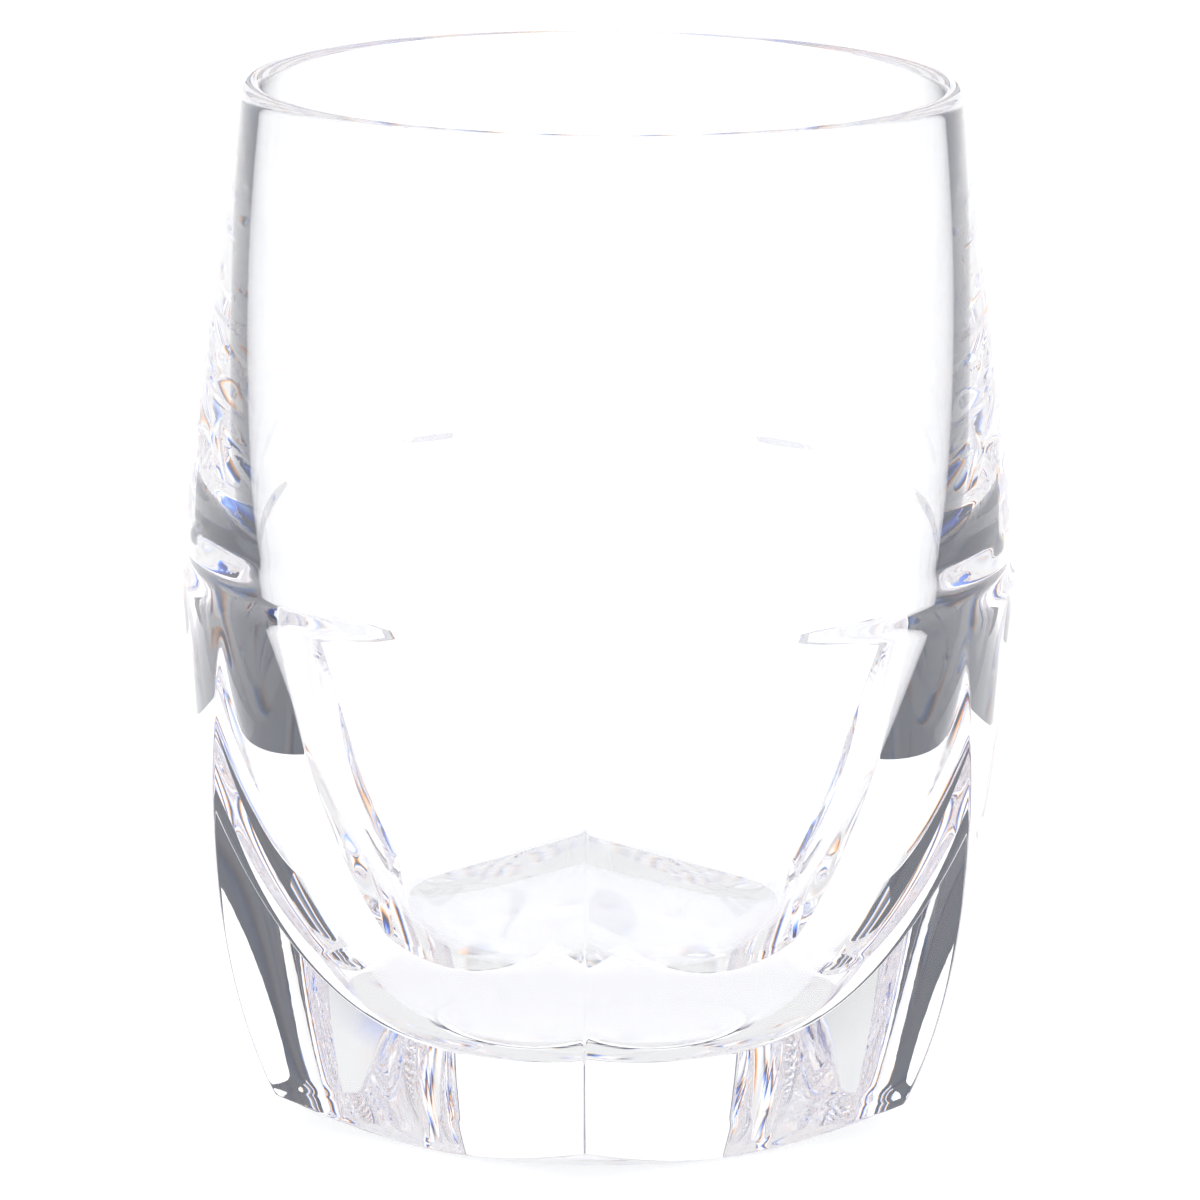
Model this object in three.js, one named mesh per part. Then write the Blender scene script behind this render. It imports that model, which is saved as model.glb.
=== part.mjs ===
// A barrel-shaped whiskey tumbler: one piece of clear crystal with a heavy base,
// cut with a ring of broad panels that meet in ridges and end in small foot facets.
// Millimetres, +Z up. The origin is the centre of the flat face that it stands on.

import * as THREE from 'three';

// ---- Driving dimensions ----

// The barrel, before any cutting
const height = 105.5;
const mouthRadius = 36.6; // outside of the wall at the lip
const mouthLean = 2.6; // how much wider the barrel already is at the upper side's last handle
const bellyRadius = 44.3; // widest part
const bellyHeight = 38;
const underTurn = 7.1; // how far its curve would draw in by the table

// The cavity
const lipThickness = 2.1; // the lip is a half round of this width
const cavityWideHeight = 70; // where the cavity is widest
const wallThickness = 4.65; // of the barrel at that height
const baseThickness = 11; // glass under the middle of the cavity
const sideFullness = 2.15; // exponents of the bowl's superellipse
const floorFullness = 3;

// The cut panels
const panelCount = 6;
const panelFootStep = 0.7; // from the heel out to a panel's middle line, at the table
const panelDepth = 1.3; // how far its top lies inside the widest part of the barrel
const panelRise = 19; // how far its top is above that widest part
const panelRadius = 41; // how round a panel is from side to side at its top
const flattening = 1.5; // how quickly it flattens towards the foot

// The foot facets, one under each panel
const facetFootStep = 0.3; // from the heel out to a facet's middle line, at the table
const facetLean = 0.57; // radius over height

// The heel, a flat cone that takes the ridges off at the foot
const footRadius = 29.7; // of the flat round face that it stands on
const heelLean = 2.05;

// Fineness of the faceted surfaces
const stepsPerPanel = 12;
const thinnestRow = 0.1;

const panelTop = bellyHeight + panelRise;

// ---- Outlines, as (radius, height) ----

function point(radius, z) {
  return new THREE.Vector2(radius, z);
}

function lowerSide() {
  const start = point(bellyRadius - underTurn, 0);
  const startHandle = point(bellyRadius - underTurn / 4, 9);
  const endHandle = point(bellyRadius, bellyHeight - 18);
  return new THREE.CubicBezierCurve(start, startHandle, endHandle, point(bellyRadius, bellyHeight));
}

function upperSide() {
  const start = point(bellyRadius, bellyHeight);
  const startHandle = point(bellyRadius, bellyHeight + 16);
  const endHandle = point(mouthRadius + mouthLean, height - 19.5);
  const end = point(mouthRadius, height - lipThickness / 2);
  return new THREE.CubicBezierCurve(start, startHandle, endHandle, end);
}

// A panel's middle line, leaning at the foot and almost upright at its top
function panelLine() {
  const footLine = footRadius + panelFootStep;
  const topLine = bellyRadius - panelDepth;
  const start = point(footLine, 0);
  const startHandle = point(footLine + 8.6, 16.3);
  const endHandle = point(topLine - 1, panelTop - 20);
  return new THREE.CubicBezierCurve(start, startHandle, endHandle, point(topLine, panelTop));
}

// The lip, a half circle from the outside of the wall over to the inside
function lipPoints() {
  const radius = lipThickness / 2;
  const lipSteps = 6;
  const points = [];
  for (let step = 1; step < lipSteps; step += 1) {
    const angle = (Math.PI * step) / lipSteps;
    const across = mouthRadius - radius + radius * Math.cos(angle);
    points.push(point(across, height - radius + radius * Math.sin(angle)));
  }
  return points;
}

function innerWallPoints(cavityRadius) {
  const innerRadius = mouthRadius - lipThickness;
  const start = point(innerRadius, height - lipThickness / 2);
  const startHandle = point(innerRadius + 1.2, height - 10);
  const endHandle = point(cavityRadius, cavityWideHeight + 14);
  const end = point(cavityRadius, cavityWideHeight);
  return new THREE.CubicBezierCurve(start, startHandle, endHandle, end).getPoints(8);
}

// The bowl of the cavity, a quarter of a superellipse that ends on the axis
function bowlPoints(cavityRadius) {
  const depth = cavityWideHeight - baseThickness;
  const bowlSteps = 18;
  const points = [];
  for (let step = 1; step <= bowlSteps; step += 1) {
    const angle = (Math.PI / 2) * (step / bowlSteps);
    const down = Math.sin(angle) ** (2 / sideFullness);
    const across = Math.cos(angle) ** (2 / floorFullness);
    points.push(point(step < bowlSteps ? cavityRadius * across : 0, cavityWideHeight - depth * down));
  }
  return points;
}

// ---- Surfaces of the outside ----

const lowerSideCurve = lowerSide();
const upperSideCurve = upperSide();
const panelCurve = panelLine();

// Where a falling value crosses zero between two ends, or the end that it never leaves
function crossing(low, high, value) {
  if (value(low) <= 0) {
    return low;
  }
  if (value(high) >= 0) {
    return high;
  }
  const halvings = 40;
  let [above, below] = [low, high];
  for (let step = 0; step < halvings; step += 1) {
    const middle = (above + below) / 2;
    if (value(middle) > 0) {
      above = middle;
    } else {
      below = middle;
    }
  }
  return (above + below) / 2;
}

// Radius of a rising curve at a height; past its end it goes on in the same direction
function radiusAt(curve, z) {
  const end = curve.getPoint(1);
  if (z > end.y) {
    const direction = curve.getTangent(1);
    return end.x + ((z - end.y) * direction.x) / direction.y;
  }
  return curve.getPoint(crossing(0, 1, (share) => z - curve.getPoint(share).y)).x;
}

function barrelRadius(z) {
  return radiusAt(z < bellyHeight ? lowerSideCurve : upperSideCurve, z);
}

// Radius, at an angle from its middle, of an upright face whose middle line is that far
// from the axis. Its bend from side to side is one over its radius, and 0 is a flat face.
function faceRadius(middle, bend, angle) {
  const reach = middle * (2 - bend * middle);
  const across = (1 - bend * middle) * Math.cos(angle);
  return reach / (across + Math.sqrt(across ** 2 + bend * reach));
}

function panelSurface(z, angle) {
  const bend = (Math.min(z, panelTop) / panelTop) ** flattening / panelRadius;
  return faceRadius(radiusAt(panelCurve, z), bend, angle);
}

function facetSurface(z, angle) {
  return faceRadius(footRadius + facetFootStep + facetLean * z, 0, angle);
}

function heelSurface(z) {
  return footRadius + heelLean * z;
}

function outsideRadius(z, angle) {
  const cut = Math.min(panelSurface(z, angle), facetSurface(z, angle), heelSurface(z));
  return Math.min(barrelRadius(z), cut);
}

// Heights up the outside at one angle: rows crowd into the bands between the cut edges,
// so that an edge always lies along a row
function outsideHeights(angle) {
  const shoulder = height - lipThickness / 2;
  const cuts = (z) => Math.min(panelSurface(z, angle), facetSurface(z, angle));
  const heelTop = crossing(0, shoulder, (z) => cuts(z) - heelSurface(z));
  const facetTop = crossing(0, shoulder, (z) => panelSurface(z, angle) - facetSurface(z, angle));
  const arch = crossing(facetTop, shoulder, (z) => barrelRadius(z) - panelSurface(z, angle));
  const bands = [
    { top: heelTop, rows: 1 },
    { top: facetTop, rows: 1 },
    { top: arch, rows: 16 },
    { top: shoulder, rows: 12 },
  ];
  const heights = [0];
  let bottom = 0;
  for (const { top, rows } of bands) {
    const bandTop = Math.max(top, bottom + rows * thinnestRow);
    for (let row = 1; row <= rows; row += 1) {
      heights.push(bottom + ((bandTop - bottom) * row) / rows);
    }
    bottom = bandTop;
  }
  return heights;
}

// One whole outline, from the middle of the foot to the middle of the cavity's floor
function outlineAt(angle) {
  const outside = outsideHeights(angle).map((z) => point(outsideRadius(z, angle), z));
  const cavityRadius = barrelRadius(cavityWideHeight) - wallThickness;
  const cavity = [...innerWallPoints(cavityRadius), ...bowlPoints(cavityRadius)];
  return [point(0, 0), ...outside, ...lipPoints(), ...cavity];
}

// ---- The solid ----

// A lathed body whose outline changes as it turns: a ridge points along -Y, and the
// angle in each outline is counted from the middle of the nearest panel
function crystalBody() {
  const ridge = Math.PI / panelCount;
  const turnSteps = stepsPerPanel * panelCount;
  const geometry = new THREE.LatheGeometry(outlineAt(-ridge), turnSteps);
  const positions = geometry.getAttribute('position');
  const rows = positions.count / (turnSteps + 1);
  for (let column = 0; column <= turnSteps; column += 1) {
    const turn = (2 * Math.PI * (column % turnSteps)) / turnSteps;
    const outline = outlineAt((turn % (2 * ridge)) - ridge);
    for (let row = 0; row < rows; row += 1) {
      const { x: radius, y: z } = outline[row];
      positions.setXYZ(column * rows + row, radius * Math.sin(turn), z, radius * Math.cos(turn));
    }
  }
  geometry.rotateX(Math.PI / 2);
  geometry.computeVertexNormals();
  return geometry;
}

// ---- Material ----

function clearCrystal() {
  return new THREE.MeshStandardMaterial({
    color: 0xf4f7f8,
    roughness: 0.02,
    metalness: 0,
    transparent: true,
    opacity: 0.35,
  });
}

// ---- The tumbler ----

const glass = new THREE.Mesh(crystalBody(), clearCrystal());
glass.name = 'tumbler_glass';

const tumbler = new THREE.Group();
tumbler.add(glass);

export default tumbler;
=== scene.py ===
# A cut-crystal whiskey tumbler on a pale studio table

import math

import bmesh
import bpy
import numpy as np
from mathutils import Matrix, Vector


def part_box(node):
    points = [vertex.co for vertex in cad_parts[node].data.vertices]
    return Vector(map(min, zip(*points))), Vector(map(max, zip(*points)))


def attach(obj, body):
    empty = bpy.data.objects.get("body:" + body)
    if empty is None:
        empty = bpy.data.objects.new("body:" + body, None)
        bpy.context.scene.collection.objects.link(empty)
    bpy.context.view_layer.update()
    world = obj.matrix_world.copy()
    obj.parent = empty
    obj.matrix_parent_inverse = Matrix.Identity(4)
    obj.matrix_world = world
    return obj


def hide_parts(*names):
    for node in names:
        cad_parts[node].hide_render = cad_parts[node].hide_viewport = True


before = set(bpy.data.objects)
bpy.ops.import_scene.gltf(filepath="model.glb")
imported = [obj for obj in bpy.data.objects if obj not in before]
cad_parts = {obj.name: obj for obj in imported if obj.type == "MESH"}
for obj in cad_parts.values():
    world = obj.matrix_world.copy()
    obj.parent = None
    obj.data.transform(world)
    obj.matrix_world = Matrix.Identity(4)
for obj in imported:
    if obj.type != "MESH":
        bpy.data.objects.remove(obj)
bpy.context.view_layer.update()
print("frame loaded:", sorted(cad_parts))

mm = 0.001
scene = bpy.context.scene


def mathNode(tree, operation, *values):
    # a Math node on numbers or on other nodes' outputs
    node = tree.nodes.new("ShaderNodeMath")
    node.operation = operation
    for socket, value in zip(node.inputs, values):
        if isinstance(value, (int, float)):
            socket.default_value = value
        else:
            tree.links.new(value, socket)
    return node.outputs[0]


glassNode = "tumbler_glass"
nodeLow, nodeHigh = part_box(glassNode)

tumbler = {
    "height": (nodeHigh[2] - nodeLow[2]) / mm,
    "panels": 6,
    # curves of radius and height: start, two handles and end
    "barrelBelow": [(37.2, 0), (42.5, 9), (44.3, 20), (44.3, 38)],
    "barrelAbove": [(44.3, 38), (44.3, 54), (39.2, 86), (36.6, 104.45)],
    "panel": [(30.4, 0), (39, 16.3), (42, 37), (43, 57)],
    "panelRadius": 41,        # how round a panel is from side to side at its top
    "flattening": 1.5,        # how quickly it flattens towards the foot
    "facetFoot": 30.0,        # foot facets: radius of the middle at the table, and slope
    "facetLean": 0.57,
    "heelFoot": 29.7,         # flat cone that takes the ridges off at the foot
    "heelLean": 2.05,
    "lip": 2.1,
    "cavityWideHeight": 70,   # where the cavity is widest, and the barrel's wall there
    "wall": 4.65,
    "baseThickness": 11,
    "sideFullness": 2.15,
    "floorFullness": 3.0,
    "innerStart": 1.2,        # the inner wall's curve: how far out its first handle is,
    "innerBelowLip": 10,      # how far below the lip, and the second one's height
    "innerAboveWide": 14,     # above the widest place
    "edgeSoftness": 0.08,     # how far the cut edges are rounded off
    "footReach": 12,          # the foot facets and heel end below this height
    "columns": 52,            # across one panel
    "outsideRows": (4, 8, 56, 44),    # heel, facet, panel and barrel
    "lipRows": 13,
    "innerRows": 28,
    "bowlRows": 66,
    "footRings": (0.35, 0.7, 0.9, 0.975, 0.994),
    "evenShare": 0.15,        # how much of the spacing of rows and columns is even
    "weld": 0.000002,
}
blownKind, cutKind, footKind = 0, 1, 2


def sampled(handles, count=1500, pastEnd=4):
    # a cubic curve as radii and heights, with a straight run past its end
    share = np.linspace(0, 1, count)[:, None]
    a, b, c, d = (np.array(handle, float) for handle in handles)
    rest = 1 - share
    curve = (a * rest**3 + 3 * b * share * rest**2
             + 3 * c * share**2 * rest + d * share**3)
    run = d + (d - c) * pastEnd
    return np.vstack([curve, run])


barrelBelow = sampled(tumbler["barrelBelow"])
barrelAbove = sampled(tumbler["barrelAbove"])
panelLine = sampled(tumbler["panel"])
panelTop = tumbler["panel"][3][1]
halfPanel = math.pi / tumbler["panels"]


def barrelAt(z):
    below = np.interp(z, barrelBelow[:-1, 1], barrelBelow[:-1, 0])
    above = np.interp(z, barrelAbove[:, 1], barrelAbove[:, 0])
    return np.where(np.asarray(z) < tumbler["barrelAbove"][0][1], below, above)


def faceRadius(middle, bend, turn):
    # radius at an angle from the middle of an upright face that bends sideways, 0 being flat
    reach = middle * (2 - bend * middle)
    across = (1 - bend * middle) * np.cos(turn)
    return reach / (across + np.sqrt(across**2 + bend * reach))


def panelSurface(z, turn):
    bend = (np.clip(z, 0, panelTop) / panelTop) ** tumbler["flattening"] / tumbler["panelRadius"]
    return faceRadius(np.interp(z, panelLine[:, 1], panelLine[:, 0]), bend, turn)


def facetSurface(z, turn):
    return faceRadius(tumbler["facetFoot"] + tumbler["facetLean"] * z, 0, turn)


def heelSurface(z):
    return tumbler["heelFoot"] + tumbler["heelLean"] * z


def softMin(a, b):
    soft = tumbler["edgeSoftness"]
    near = np.maximum(soft - np.abs(a - b), 0) / soft
    return np.minimum(a, b) - near**2 * soft / 4


def outsideAt(z, turn):
    # the barrel, cut by this panel, its neighbour, their foot facets and the heel
    other = 2 * halfPanel - np.abs(turn)
    radius = softMin(barrelAt(z), panelSurface(z, turn))
    radius = softMin(radius, panelSurface(z, other))
    radius = softMin(radius, facetSurface(z, turn))
    radius = softMin(radius, facetSurface(z, other))
    return softMin(radius, heelSurface(z))


def crossing(low, high, gap, halvings=50):
    # the height between low and high where a falling gap reaches zero, or the end it never leaves
    if gap(low) <= 0:
        return low
    if gap(high) >= 0:
        return high
    for _ in range(halvings):
        middle = (low + high) / 2
        low, high = (middle, high) if gap(middle) > 0 else (low, middle)
    return (low + high) / 2


def towardsEnds(count):
    # steps from 0 to 1 that crowd together at both ends, where the cut edges are
    even = np.linspace(0, 1, count + 1)
    crowded = (1 - np.cos(math.pi * even)) / 2
    return tumbler["evenShare"] * even + (1 - tumbler["evenShare"]) * crowded


def outsideHeights(turn, shoulder):
    # heights up one column: foot, heel's edge, facet's top edge, panel's arch, shoulder
    reach = tumbler["footReach"]
    heelTop = crossing(0, reach, lambda z: facetSurface(z, turn) - heelSurface(z))
    facetTop = crossing(0, reach, lambda z: panelSurface(z, turn) - facetSurface(z, turn))
    arch = crossing(facetTop, shoulder, lambda z: barrelAt(z) - panelSurface(z, turn))
    marks = [0, heelTop, facetTop, arch, shoulder]
    heights, kinds = [0.0], []
    rowKinds = (cutKind, cutKind, cutKind, blownKind)
    for low, high, count, kind in zip(marks, marks[1:], tumbler["outsideRows"], rowKinds):
        heights += list(low + (high - low) * towardsEnds(count)[1:])
        kinds += [kind] * count
    return heights, kinds


def lipAndCavity(shoulderRadius):
    # radius and height over the lip and down the inside to the axis
    t = tumbler
    radius = t["lip"] / 2
    top = t["height"]
    points = []
    for step in range(1, t["lipRows"]):
        angle = math.pi * step / t["lipRows"]
        points.append((shoulderRadius - radius + radius * math.cos(angle),
                       top - radius + radius * math.sin(angle)))
    inner = shoulderRadius - t["lip"]
    wide = float(barrelAt(t["cavityWideHeight"])) - t["wall"]
    wideHeight = t["cavityWideHeight"]
    handles = [(inner, top - radius), (inner + t["innerStart"], top - t["innerBelowLip"]),
               (wide, wideHeight + t["innerAboveWide"]), (wide, wideHeight)]
    for step in range(t["innerRows"] + 1):
        u = step / t["innerRows"]
        weights = [(1 - u) ** 3, 3 * u * (1 - u) ** 2, 3 * u * u * (1 - u), u**3]
        points.append(tuple(sum(w * h[i] for w, h in zip(weights, handles)) for i in (0, 1)))
    depth = wideHeight - t["baseThickness"]
    for step in range(1, t["bowlRows"]):
        angle = math.pi / 2 * step / t["bowlRows"]
        points.append((wide * math.cos(angle) ** (2 / t["floorFullness"]),
                       wideHeight - depth * math.sin(angle) ** (2 / t["sideFullness"])))
    return points


def panelSector():
    # one panel's slice of the tumbler, ridge to ridge, with a fan at the axis above and below
    shoulder = tumbler["height"] - tumbler["lip"] / 2
    half = towardsEnds(tumbler["columns"])
    turns = halfPanel * (2 * half - 1)
    inside = lipAndCavity(float(barrelAt(shoulder)))
    columns, kinds = [], []
    for turn in turns:
        heights, kinds = outsideHeights(turn, shoulder)
        z = np.array(heights)
        radius = outsideAt(z, turn)
        radius[-1] = barrelAt(shoulder)
        foot = float(radius[0])
        under = [(foot * share, 0.0) for share in tumbler["footRings"]]
        column = under + list(zip(radius, z)) + inside
        columns.append([(r * math.cos(turn), r * math.sin(turn), h) for r, h in column])
    faceKinds = [footKind] * len(tumbler["footRings"]) + kinds + [blownKind] * len(inside)
    rows = len(columns[0])
    verts = [point for column in columns for point in column]
    faces, marks = [], []
    for c in range(len(columns) - 1):
        for r in range(rows - 1):
            a, b = c * rows + r, (c + 1) * rows + r
            faces.append((a, b, b + 1, a + 1))
            marks.append(faceKinds[r])
    bottom, floor = len(verts), len(verts) + 1
    verts += [(0, 0, 0), (0, 0, tumbler["baseThickness"])]
    for c in range(len(columns) - 1):
        a, b = c * rows, (c + 1) * rows
        faces.append((bottom, b, a))
        marks.append(footKind)
        faces.append((a + rows - 1, b + rows - 1, floor))
        marks.append(blownKind)
    mesh = bpy.data.meshes.new("panelSector")
    mesh.from_pydata([Vector(v) * mm for v in verts], [], faces)
    kind = mesh.attributes.new("surfaceKind", "INT", "FACE")
    kind.data.foreach_set("value", marks)
    mesh.update()
    sector = bpy.data.objects.new("panelSector", mesh)
    scene.collection.objects.link(sector)
    return sector


hairlines = {
    "stretch": (1.0, 1.0, 0.06),
    "slant": (0.5, 0.35, 0.0),
    "wearFrom": 0.52,         # only the strongest of the lines wear the polish
    "wearFull": 0.72,
}


def crystalSurfaceGroup():
    # faint ripple and hairline wear that every glass surface here has, in its own amounts
    group = bpy.data.node_groups.new("crystalSurface", "ShaderNodeTree")
    for name, default in (("Ripple Scale", 30.0), ("Ripple", 0.5), ("Line Scale", 400.0),
                          ("Lines", 0.5), ("Base Roughness", 0.0), ("Wear", 0.02)):
        socket = group.interface.new_socket(name, in_out="INPUT", socket_type="NodeSocketFloat")
        socket.default_value = default
    group.interface.new_socket("Height", in_out="OUTPUT", socket_type="NodeSocketFloat")
    group.interface.new_socket("Roughness", in_out="OUTPUT", socket_type="NodeSocketFloat")
    nodes, links = group.nodes, group.links
    inputs = nodes.new("NodeGroupInput")
    outputs = nodes.new("NodeGroupOutput")
    coords = nodes.new("ShaderNodeTexCoord")

    ripple = nodes.new("ShaderNodeTexNoise")
    ripple.inputs["Detail"].default_value = 1.0
    links.new(coords.outputs["Object"], ripple.inputs["Vector"])
    links.new(inputs.outputs["Ripple Scale"], ripple.inputs["Scale"])

    stretch = nodes.new("ShaderNodeMapping")
    stretch.inputs["Scale"].default_value = hairlines["stretch"]
    stretch.inputs["Rotation"].default_value = hairlines["slant"]
    links.new(coords.outputs["Object"], stretch.inputs["Vector"])
    lines = nodes.new("ShaderNodeTexNoise")
    lines.inputs["Detail"].default_value = 2.0
    links.new(stretch.outputs["Vector"], lines.inputs["Vector"])
    links.new(inputs.outputs["Line Scale"], lines.inputs["Scale"])

    rippleHeight = mathNode(group, "MULTIPLY", ripple.outputs["Fac"], inputs.outputs["Ripple"])
    lineHeight = mathNode(group, "MULTIPLY", lines.outputs["Fac"], inputs.outputs["Lines"])
    links.new(mathNode(group, "ADD", rippleHeight, lineHeight), outputs.inputs["Height"])

    spots = nodes.new("ShaderNodeMapRange")
    spots.inputs["From Min"].default_value = hairlines["wearFrom"]
    spots.inputs["From Max"].default_value = hairlines["wearFull"]
    links.new(lines.outputs["Fac"], spots.inputs["Value"])
    wear = mathNode(group, "MULTIPLY", spots.outputs["Result"], inputs.outputs["Wear"])
    roughness = mathNode(group, "ADD", wear, inputs.outputs["Base Roughness"])
    links.new(roughness, outputs.inputs["Roughness"])
    return group


crystalSurface = crystalSurfaceGroup()

crystal = {
    "color": (0.985, 0.99, 1.0, 1),
    "bend": 1.545,            # index of refraction
    "shadowTint": (0.82, 0.84, 0.86, 1),
}
finishes = {
    "blownCrystal": {"Ripple Scale": 22.0, "Ripple": 0.5, "Line Scale": 500.0, "Lines": 0.0,
                     "Base Roughness": 0.0, "Wear": 0.01, "bump": 0.00003},
    "cutCrystal": {"Ripple Scale": 60.0, "Ripple": 0.25, "Line Scale": 900.0, "Lines": 0.03,
                   "Base Roughness": 0.0, "Wear": 0.02, "bump": 0.00003},
    "footCrystal": {"Ripple Scale": 40.0, "Ripple": 0.1, "Line Scale": 700.0, "Lines": 0.05,
                    "Base Roughness": 0.01, "Wear": 0.12, "bump": 0.00003},
}


def crystalMaterial(name):
    amounts = finishes[name]
    material = bpy.data.materials.new(name)
    material.use_nodes = True
    nodes, links = material.node_tree.nodes, material.node_tree.links
    glass = nodes["Principled BSDF"]
    glass.inputs["Base Color"].default_value = crystal["color"]
    glass.inputs["IOR"].default_value = crystal["bend"]
    glass.inputs["Transmission Weight"].default_value = 1.0
    surface = nodes.new("ShaderNodeGroup")
    surface.node_tree = crystalSurface
    for key, value in amounts.items():
        if key in surface.inputs:
            surface.inputs[key].default_value = value
    bump = nodes.new("ShaderNodeBump")
    bump.inputs["Strength"].default_value = 1.0
    bump.inputs["Distance"].default_value = amounts["bump"]
    links.new(surface.outputs["Height"], bump.inputs["Height"])
    links.new(bump.outputs["Normal"], glass.inputs["Normal"])
    links.new(surface.outputs["Roughness"], glass.inputs["Roughness"])
    # shadows pass straight through with a pale tint
    clear = nodes.new("ShaderNodeBsdfTransparent")
    clear.inputs["Color"].default_value = crystal["shadowTint"]
    rays = nodes.new("ShaderNodeLightPath")
    lampRays = nodes.new("ShaderNodeMixShader")
    links.new(rays.outputs["Is Shadow Ray"], lampRays.inputs[0])
    links.new(glass.outputs[0], lampRays.inputs[1])
    links.new(clear.outputs[0], lampRays.inputs[2])
    links.new(lampRays.outputs[0], nodes["Material Output"].inputs["Surface"])
    return material


def repeatRoundAxis():
    # turns the slice round the axis, welds it and gives each kind of surface its finish
    tree = bpy.data.node_groups.new("repeatRoundAxis", "GeometryNodeTree")
    face = tree.interface
    face.new_socket("Slice", in_out="INPUT", socket_type="NodeSocketGeometry")
    for name, kind, default in (("Panels", "NodeSocketInt", tumbler["panels"]),
                                ("Weld Distance", "NodeSocketFloat", tumbler["weld"])):
        face.new_socket(name, in_out="INPUT", socket_type=kind).default_value = default
    for name in ("Blown Finish", "Cut Finish", "Foot Finish"):
        face.new_socket(name, in_out="INPUT", socket_type="NodeSocketMaterial")
    face.new_socket("Tumbler", in_out="OUTPUT", socket_type="NodeSocketGeometry")
    nodes, links = tree.nodes, tree.links
    inputs = nodes.new("NodeGroupInput")
    outputs = nodes.new("NodeGroupOutput")

    places = nodes.new("GeometryNodeMeshLine")
    places.inputs["Offset"].default_value = (0, 0, 0)
    links.new(inputs.outputs["Panels"], places.inputs["Count"])
    index = nodes.new("GeometryNodeInputIndex")
    share = mathNode(tree, "DIVIDE", 2 * math.pi, inputs.outputs["Panels"])
    centred = mathNode(tree, "ADD", index.outputs[0], 0.5)
    turn = mathNode(tree, "MULTIPLY_ADD", centred, share, -math.pi / 2)
    rotation = nodes.new("ShaderNodeCombineXYZ")
    links.new(turn, rotation.inputs["Z"])

    repeat = nodes.new("GeometryNodeInstanceOnPoints")
    links.new(places.outputs["Mesh"], repeat.inputs["Points"])
    links.new(inputs.outputs["Slice"], repeat.inputs["Instance"])
    links.new(rotation.outputs[0], repeat.inputs["Rotation"])
    realize = nodes.new("GeometryNodeRealizeInstances")
    links.new(repeat.outputs["Instances"], realize.inputs["Geometry"])
    weld = nodes.new("GeometryNodeMergeByDistance")
    links.new(realize.outputs["Geometry"], weld.inputs["Geometry"])
    links.new(inputs.outputs["Weld Distance"], weld.inputs["Distance"])
    smooth = nodes.new("GeometryNodeSetShadeSmooth")
    links.new(weld.outputs["Geometry"], smooth.inputs["Geometry"])
    last = smooth.outputs["Geometry"]
    kind = nodes.new("GeometryNodeInputNamedAttribute")
    kind.data_type = "INT"
    kind.inputs["Name"].default_value = "surfaceKind"
    for number, name in enumerate(("Blown Finish", "Cut Finish", "Foot Finish")):
        same = nodes.new("FunctionNodeCompare")
        same.data_type = "INT"
        same.operation = "EQUAL"
        same.inputs["B"].default_value = number
        links.new(kind.outputs["Attribute"], same.inputs["A"])
        paint = nodes.new("GeometryNodeSetMaterial")
        links.new(last, paint.inputs["Geometry"])
        links.new(same.outputs["Result"], paint.inputs["Selection"])
        links.new(inputs.outputs[name], paint.inputs["Material"])
        last = paint.outputs["Geometry"]
    links.new(last, outputs.inputs["Tumbler"])
    return tree


def makeTumbler():
    sector = panelSector()
    modifier = sector.modifiers.new("repeat", "NODES")
    modifier.node_group = repeatRoundAxis()
    blown = crystalMaterial("blownCrystal")
    sector.data.materials.append(blown)
    values = {"Panels": tumbler["panels"], "Weld Distance": tumbler["weld"],
              "Blown Finish": blown,
              "Cut Finish": crystalMaterial("cutCrystal"),
              "Foot Finish": crystalMaterial("footCrystal")}
    for item in modifier.node_group.interface.items_tree:
        if item.in_out == "INPUT" and item.name in values:
            modifier[item.identifier] = values[item.name]
    evaluated = sector.evaluated_get(bpy.context.evaluated_depsgraph_get())
    mesh = bpy.data.meshes.new_from_object(evaluated)
    mesh.name = "cut_crystal_tumbler"
    glass = bpy.data.objects.new("cut_crystal_tumbler", mesh)
    scene.collection.objects.link(glass)
    bpy.data.objects.remove(sector)
    clean = bmesh.new()
    clean.from_mesh(mesh)
    bmesh.ops.recalc_face_normals(clean, faces=clean.faces)
    openEdges = sum(1 for edge in clean.edges if len(edge.link_faces) != 2)
    clean.to_mesh(mesh)
    clean.free()
    print("tumbler:", len(mesh.vertices), "points,", len(mesh.polygons), "faces,",
          openEdges, "open edges,", [m.name for m in mesh.materials])
    return glass


glass = makeTumbler()
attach(glass, "root")
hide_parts(glassNode)


studio = {
    "table": 3.0,             # half the table's width
    "tableDrop": 0.0002,      # how far it lies below the foot
    "tableColor": (0.93, 0.93, 0.93, 1),
    "tableRoughness": 0.8,
    "tableGlow": 0.4,
    "brightness": 1.0,
    "plainBrightness": 1.15,  # the room that the camera sees directly
    "exposure": 0.2,
    "bounces": 64,            # light trapped in the thick base needs many
    "paintedRingFrom": 0.075,        # how far out the painted dark ring on the table starts
    "paintedScreens": 8,             # painted dark screens round the room, which the camera never sees directly
    "finePaintedScreens": 20,        # thin painted screens higher up, for painted dark lines in the thick base
    "fineFrom": 0.07,         # how far up they start
    "longPaintedScreens": 8,         # the ring of painted fire colours that much turned light sees
    "shortPath": 3.5,         # the paths that pathKinds tells apart
    "turnedPath": 2.5,
    "longPath": 6.5,
    "overhead": 0.75,         # soft light above, and how high it starts and is full
    "overheadFrom": 0.45,
    "overheadFull": 0.6,
    "white": (1, 1, 1),
    # dark and dusk are painted shade seen in the glass; warm, cool, ember and deep are its painted
    # colour fringes
    "dark": (0.085, 0.092, 0.115),
    "dusk": (0.3, 0.32, 0.36),
    "warm": (1.0, 0.62, 0.34),
    "cool": (0.3, 0.5, 1.0),
    "ember": (0.9, 0.35, 0.1),
    "deep": (0.06, 0.12, 0.6),
}


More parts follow.
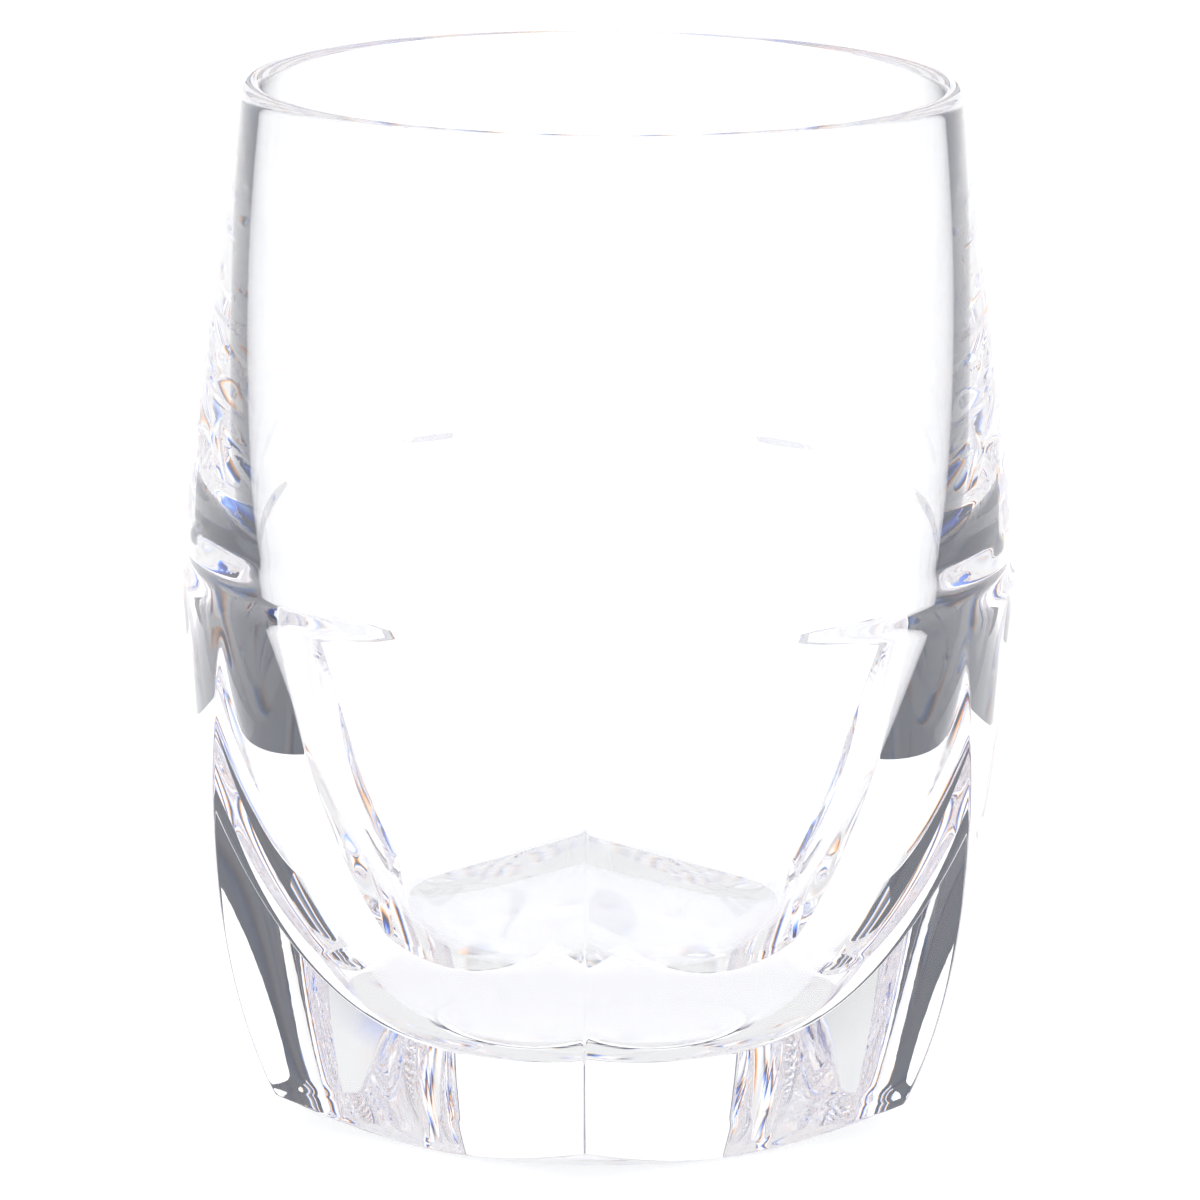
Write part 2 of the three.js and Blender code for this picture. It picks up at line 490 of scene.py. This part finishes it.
def paintedScreensGroup(name, stops):
    # white all round, with a ring of painted dark upright screens, by direction from the axis
    group = bpy.data.node_groups.new(name, "ShaderNodeTree")
    group.interface.new_socket("Direction", in_out="INPUT", socket_type="NodeSocketVector")
    group.interface.new_socket("Count", in_out="INPUT", socket_type="NodeSocketFloat")
    group.interface.new_socket("Color", in_out="OUTPUT", socket_type="NodeSocketColor")
    nodes, links = group.nodes, group.links
    inputs = nodes.new("NodeGroupInput")
    outputs = nodes.new("NodeGroupOutput")
    parts = nodes.new("ShaderNodeSeparateXYZ")
    links.new(inputs.outputs["Direction"], parts.inputs[0])
    around = mathNode(group, "ARCTAN2", parts.outputs["X"], parts.outputs["Y"])
    turns = mathNode(group, "MULTIPLY", around, inputs.outputs["Count"])
    place = mathNode(group, "FRACT", mathNode(group, "DIVIDE", turns, 2 * math.pi))
    paintedScreens = nodes.new("ShaderNodeValToRGB")
    links.new(place, paintedScreens.inputs[0])
    ramp = paintedScreens.color_ramp.elements
    ramp.remove(ramp[-1])
    ramp[0].position, ramp[0].color = 0, studio["white"] + (1,)
    for position, color in stops:
        ramp.new(position).color = color + (1,)
    links.new(paintedScreens.outputs["Color"], outputs.inputs[0])
    return group


white, dark, dusk = studio["white"], studio["dark"], studio["dusk"]
warm, cool, ember, deep = studio["warm"], studio["cool"], studio["ember"], studio["deep"]
# painted coloured edges stand in for the glass's fire, and a painted slit screen has lit gaps in
# it
paintedSlitScreens = paintedScreensGroup("paintedSlitScreens", [
    (0.25, white), (0.27, warm), (0.285, dark), (0.39, dark), (0.41, cool), (0.425, white),
    (0.44, warm), (0.46, dusk), (0.54, dark), (0.56, cool), (0.575, white), (0.59, warm),
    (0.61, dark), (0.715, dark), (0.735, cool), (0.75, white)])

# painted colours for light that has turned about many times: mostly lit, split into colours
paintedFireScreens = paintedScreensGroup("paintedFireScreens", [
    (0.12, white), (0.2, warm), (0.27, ember), (0.33, dark), (0.45, dark), (0.5, deep),
    (0.6, cool), (0.7, white)])


def placePaintedScreens(tree, kind, direction, count):
    # places a ring of painted screens, by direction
    paintedScreens = tree.nodes.new("ShaderNodeGroup")
    paintedScreens.node_tree = kind
    paintedScreens.inputs["Count"].default_value = count
    tree.links.new(direction, paintedScreens.inputs["Direction"])
    return paintedScreens.outputs["Color"]


def blendColors(tree, factor, first, second):
    node = tree.nodes.new("ShaderNodeMix")
    node.data_type = "RGBA"
    tree.links.new(factor, node.inputs["Factor"])
    for socket, color in ((node.inputs["A"], first), (node.inputs["B"], second)):
        if isinstance(color, tuple):
            socket.default_value = color
        else:
            tree.links.new(color, socket)
    return node.outputs["Result"]


def pathKinds(tree, rays):
    # short: light that stayed in the wall or base. long: light that turned about many times in it.
    # turned: light that was reflected inside it at least once.
    # What is left crossed the cavity and was hardly bent.
    short = mathNode(tree, "LESS_THAN", rays.outputs["Transmission Depth"], studio["shortPath"])
    long = mathNode(tree, "GREATER_THAN", rays.outputs["Ray Depth"], studio["longPath"])
    turned = mathNode(tree, "GREATER_THAN", rays.outputs["Ray Depth"], studio["turnedPath"])
    return mathNode(tree, "MULTIPLY", short, mathNode(tree, "SUBTRACT", 1.0, long)), long, turned


def paleTable():
    size = studio["table"]
    corners = [(-size, -size, 0), (size, -size, 0), (size, size, 0), (-size, size, 0)]
    mesh = bpy.data.meshes.new("table")
    mesh.from_pydata(corners, [], [(0, 1, 2, 3)])
    table = bpy.data.objects.new("table", mesh)
    table.location.z = -studio["tableDrop"]
    scene.collection.objects.link(table)
    material = bpy.data.materials.new("paleTable")
    material.use_nodes = True
    nodes, links = material.node_tree.nodes, material.node_tree.links
    paint = nodes["Principled BSDF"]
    paint.inputs["Base Color"].default_value = studio["tableColor"]
    paint.inputs["Roughness"].default_value = studio["tableRoughness"]
    paint.inputs["Emission Color"].default_value = (1, 1, 1, 1)
    paint.inputs["Emission Strength"].default_value = studio["tableGlow"]
    # out past the foot, light that was turned inside the glass sees a painted dark ring instead,
    # and light turned many times sees painted fire colours
    tree = material.node_tree
    coords = nodes.new("ShaderNodeTexCoord")
    rays = nodes.new("ShaderNodeLightPath")
    away = nodes.new("ShaderNodeVectorMath")
    away.operation = "LENGTH"
    links.new(coords.outputs["Object"], away.inputs[0])
    short, long, turned = pathKinds(tree, rays)
    far = mathNode(tree, "GREATER_THAN", away.outputs["Value"], studio["paintedRingFrom"])
    far = mathNode(tree, "MULTIPLY", far, turned)
    fine = placePaintedScreens(tree, paintedFireScreens, coords.outputs["Object"], studio["longPaintedScreens"])
    # the painted dark ring and painted fire colours glow here, never for camera rays
    seen = nodes.new("ShaderNodeEmission")
    links.new(blendColors(tree, long, studio["dark"] + (1,), fine), seen.inputs["Color"])
    shown = mathNode(tree, "MAXIMUM", mathNode(tree, "MULTIPLY", far, short), long)
    notCamera = mathNode(tree, "SUBTRACT", 1.0, rays.outputs["Is Camera Ray"])
    pick = nodes.new("ShaderNodeMixShader")
    links.new(mathNode(tree, "MULTIPLY", shown, notCamera), pick.inputs[0])
    links.new(paint.outputs[0], pick.inputs[1])
    links.new(seen.outputs[0], pick.inputs[2])
    links.new(pick.outputs[0], nodes["Material Output"].inputs["Surface"])
    mesh.materials.append(material)


def softLight():
    # an even pale room round the painted screens, and plain pale behind everything for the camera
    world = bpy.data.worlds.new("studio")
    scene.world = world
    world.use_nodes = True
    nodes, links = world.node_tree.nodes, world.node_tree.links
    nodes.clear()
    coords = nodes.new("ShaderNodeTexCoord")
    tree, direction = world.node_tree, coords.outputs["Generated"]
    rays = nodes.new("ShaderNodeLightPath")
    parts = nodes.new("ShaderNodeSeparateXYZ")
    links.new(direction, parts.inputs[0])

    # light that has crossed the cavity sees only thin painted screens, and those only higher up
    short, long, turned = pathKinds(tree, rays)
    short = mathNode(tree, "MULTIPLY", short, turned)
    higher = mathNode(tree, "GREATER_THAN", parts.outputs["Z"], studio["fineFrom"])
    fine = placePaintedScreens(tree, paintedSlitScreens, direction, studio["finePaintedScreens"])
    wide = placePaintedScreens(tree, paintedSlitScreens, direction, studio["paintedScreens"])
    fire = placePaintedScreens(tree, paintedFireScreens, direction, studio["longPaintedScreens"])
    through = blendColors(tree, higher, white + (1,), fine)
    # light turned many times meets the painted fire colours, the rest meets the thin or wide
    # painted screens
    room = blendColors(tree, long, blendColors(tree, short, through, wide), fire)
    up = nodes.new("ShaderNodeMapRange")
    up.inputs["From Min"].default_value = studio["overheadFrom"]
    up.inputs["From Max"].default_value = studio["overheadFull"]
    links.new(parts.outputs["Z"], up.inputs["Value"])
    room = blendColors(tree, up.outputs["Result"], room, (studio["overhead"],) * 3 + (1,))
    light = nodes.new("ShaderNodeBackground")
    light.inputs["Strength"].default_value = studio["brightness"]
    links.new(room, light.inputs["Color"])
    plain = nodes.new("ShaderNodeBackground")
    plain.inputs["Strength"].default_value = studio["plainBrightness"]
    pick = nodes.new("ShaderNodeMixShader")
    links.new(rays.outputs["Is Camera Ray"], pick.inputs[0])
    links.new(light.outputs[0], pick.inputs[1])
    links.new(plain.outputs[0], pick.inputs[2])
    output = nodes.new("ShaderNodeOutputWorld")
    links.new(pick.outputs[0], output.inputs["Surface"])


view = {
    "distance": 0.700,
    "height": 0.2103,
    "aimHeight": 0.05154,
    "aimSide": 0.0002,
    "around": 1.3,            # degrees, as is the roll
    "roll": 0.5,
    "lens": 209.2,
    "sensor": 36,
    "nearest": 0.01,
}


def placeCamera():
    around = math.radians(view["around"])
    side = Vector((math.cos(around), math.sin(around), 0))
    away = Vector((math.sin(around), -math.cos(around), 0))
    camera = bpy.data.objects.new("camera", bpy.data.cameras.new("camera"))
    scene.collection.objects.link(camera)
    camera.location = away * view["distance"] + Vector((0, 0, view["height"]))
    aim = side * view["aimSide"] + Vector((0, 0, view["aimHeight"]))
    facing = (aim - camera.location).to_track_quat("-Z", "Y").to_matrix()
    roll = Matrix.Rotation(math.radians(view["roll"]), 3, "Z")
    camera.rotation_euler = (facing @ roll).to_euler()
    camera.data.sensor_width = view["sensor"]
    camera.data.lens = view["lens"]
    camera.data.clip_start = view["nearest"]
    scene.camera = camera


paleTable()
softLight()
placeCamera()
scene.view_settings.view_transform = "Standard"
scene.view_settings.exposure = studio["exposure"]
scene.cycles.max_bounces = studio["bounces"]
scene.cycles.transmission_bounces = studio["bounces"]
scene.cycles.glossy_bounces = studio["bounces"]
print("studio ready")
